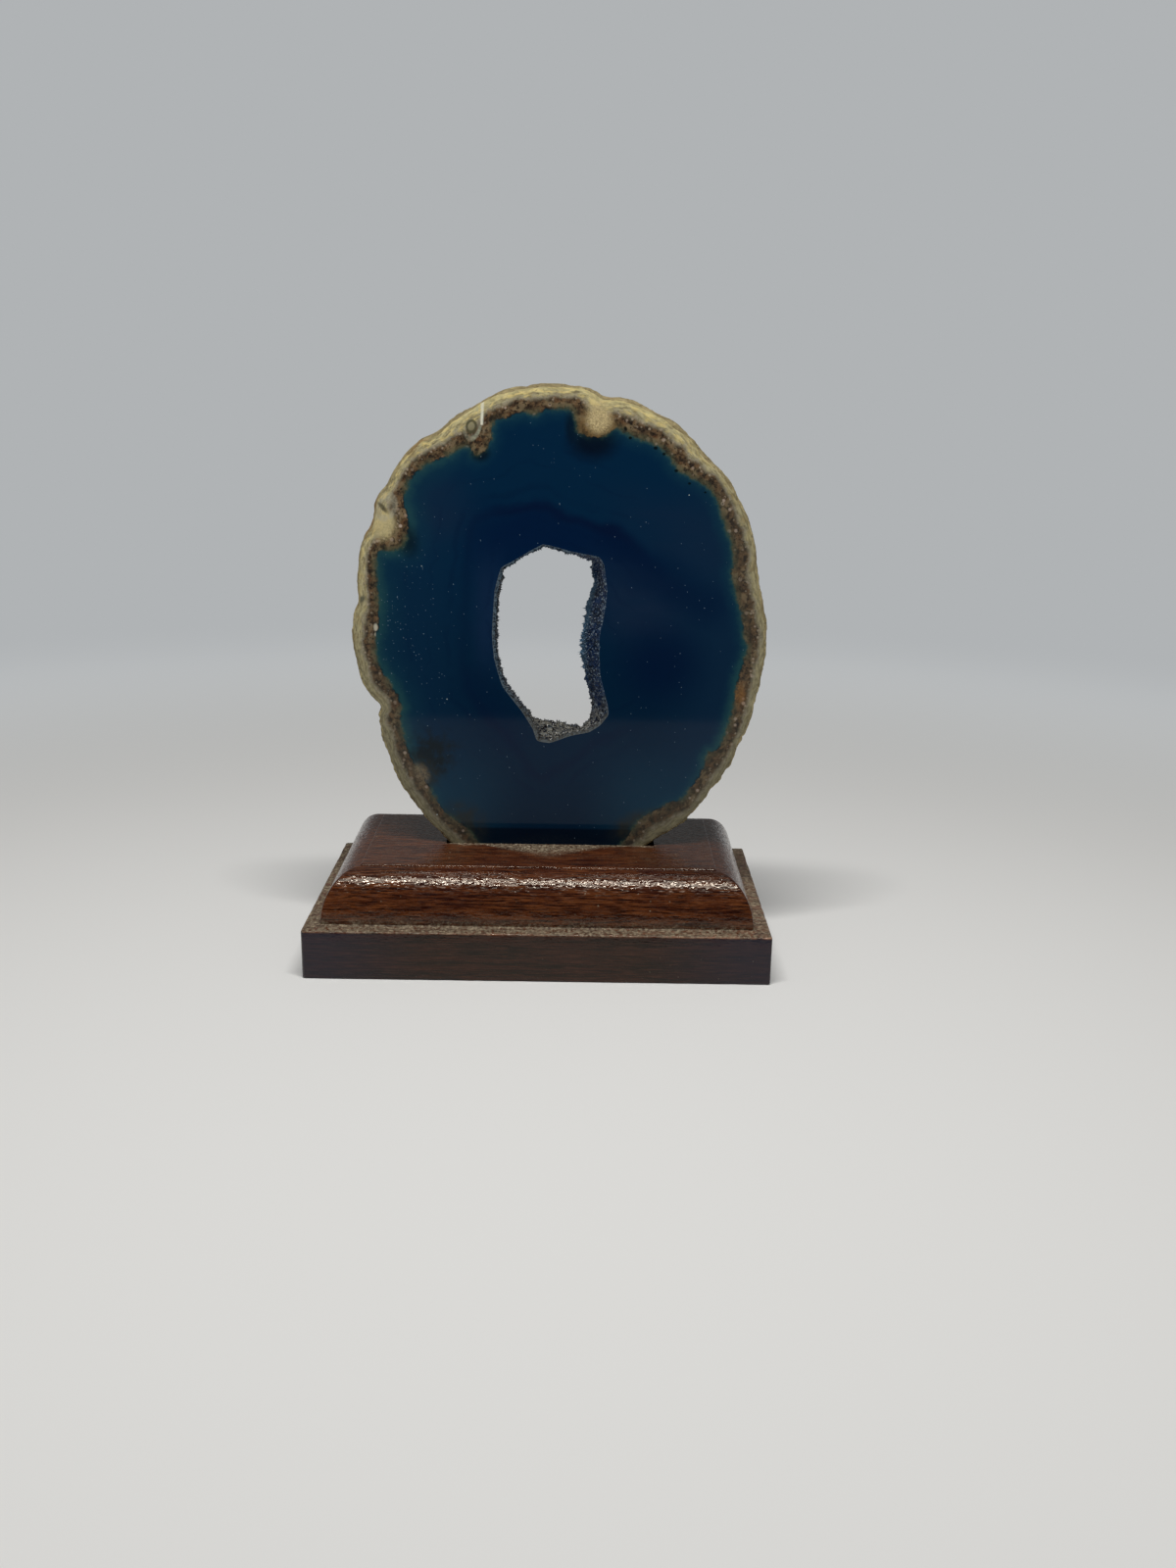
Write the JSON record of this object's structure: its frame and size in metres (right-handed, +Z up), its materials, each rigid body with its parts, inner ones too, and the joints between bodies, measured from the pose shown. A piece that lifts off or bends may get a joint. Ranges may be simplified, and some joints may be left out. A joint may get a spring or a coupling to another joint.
{
  "type": "geode slice on a wooden stand",
  "caption": "Polished slice of blue-dyed agate geode with a rough rind and a crystal-lined hollow, standing in the groove of a moulded wooden stand.",
  "frame": {"origin": "middle of the stand's underside, which is the bottom centre of the whole object's box", "axes": "+Z up, +X along the stand's long side, to the viewer's right when facing the polished front face, which looks along -Y"},
  "size_m": [0.1, 0.06, 0.123],
  "materials": {
    "agate": "polished faces, rough yellow-brown rind",
    "crystals": "fine sparkling quartz points",
    "wood": "glossy red-brown lacquer"
  },
  "bodies": {
    "root": {"agate_slice": "agate", "crystal_crust": "crystals", "wooden_stand": "wood"}
  },
  "joints": []
}
